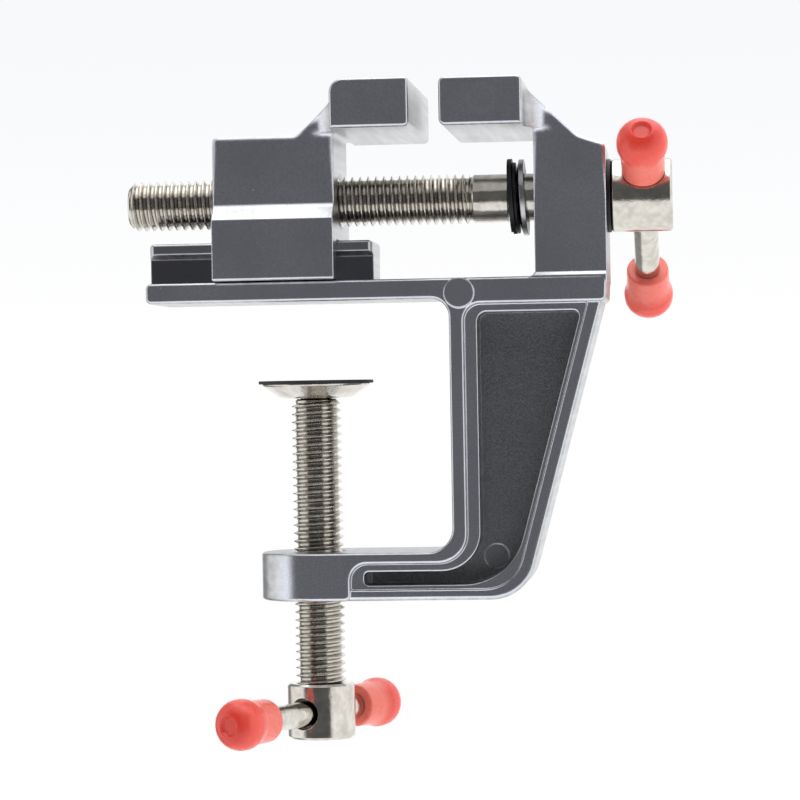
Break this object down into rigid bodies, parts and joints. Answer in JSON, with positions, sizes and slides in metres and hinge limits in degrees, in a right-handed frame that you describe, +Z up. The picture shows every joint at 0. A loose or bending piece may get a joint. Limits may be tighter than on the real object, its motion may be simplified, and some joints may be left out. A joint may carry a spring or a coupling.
{
  "type": "circuit board holder vise",
  "caption": "Small clamp-on bench vise with a sliding jaw on a T-rail, a main screw and a table clamp screw, both turned by sliding handle bars with soft caps.",
  "frame": {"origin": "where the clamp screw axis meets the flat underside of the bed, in the middle plane of the casting", "axes": "+Z up, +X along the main screw towards its handle, +Y across the jaws, away from the side with the ejector marks"},
  "size_m": [0.086, 0.0475, 0.1025],
  "materials": {
    "casting": "satin die cast, polished edges",
    "nickel": "bright nickel plate",
    "black_steel": "black oxide",
    "spring_washer": "bare spring steel",
    "black_facing": "dull black",
    "red_cap": "soft satin vinyl"
  },
  "bodies": {
    "frame": {"frame_casting": "casting"},
    "jaw": {"moving_jaw": "casting"},
    "main_spindle": {"main_screw": "nickel", "retaining_clip": "black_steel", "thrust_washer": "black_steel"},
    "loose_washers": {"clip_washer": "black_steel", "dished_washer": "spring_washer"},
    "main_handle": {"main_tbar_rod": "nickel", "main_tbar_cap_upper": "red_cap", "main_tbar_cap_lower": "red_cap"},
    "pad": {"swivel_pad": "nickel", "pad_facing": "black_facing"},
    "clamp_spindle": {"clamp_screw": "nickel"},
    "clamp_handle": {"clamp_tbar_rod": "nickel", "clamp_tbar_cap_front": "red_cap", "clamp_tbar_cap_back": "red_cap"}
  },
  "joints": [
    {"name": "main_screw_turn", "type": "hinge", "parent": "frame", "child": "main_spindle", "pos_m": [0.04, 0, 0.01585], "axis": [1, 0, 0], "range_deg": [-1332, 7200]},
    {"name": "jaw_slide", "type": "slide", "parent": "frame", "child": "jaw", "axis": [1, 0, 0], "range_m": [-0.0251, 0.00464]},
    {"name": "washer_slide", "type": "slide", "parent": "main_spindle", "child": "loose_washers", "axis": [1, 0, 0], "range_m": [0, 0.0012]},
    {"name": "main_tbar_slide", "type": "slide", "parent": "main_spindle", "child": "main_handle", "axis": [0, -0.809, 0.5878], "range_m": [0, 0.013]},
    {"name": "pad_lift", "type": "slide", "parent": "frame", "child": "pad", "axis": [0, 0, 1], "range_m": [-0.0238, 0.01225]},
    {"name": "clamp_screw_turn", "type": "hinge", "parent": "pad", "child": "clamp_spindle", "pos_m": [0, 0, -0.03], "axis": [0, 0, 1], "range_deg": [-6840, 3510]},
    {"name": "clamp_tbar_slide", "type": "slide", "parent": "clamp_spindle", "child": "clamp_handle", "axis": [-0.454, -0.891, 0], "range_m": [-0.0099, 0.0039]}
  ],
  "couplings": [
    {"joint": "jaw_slide", "follows": "main_screw_turn", "m_per_rad": -0.00019894},
    {"joint": "pad_lift", "follows": "clamp_screw_turn", "m_per_rad": 0.00019894}
  ]
}
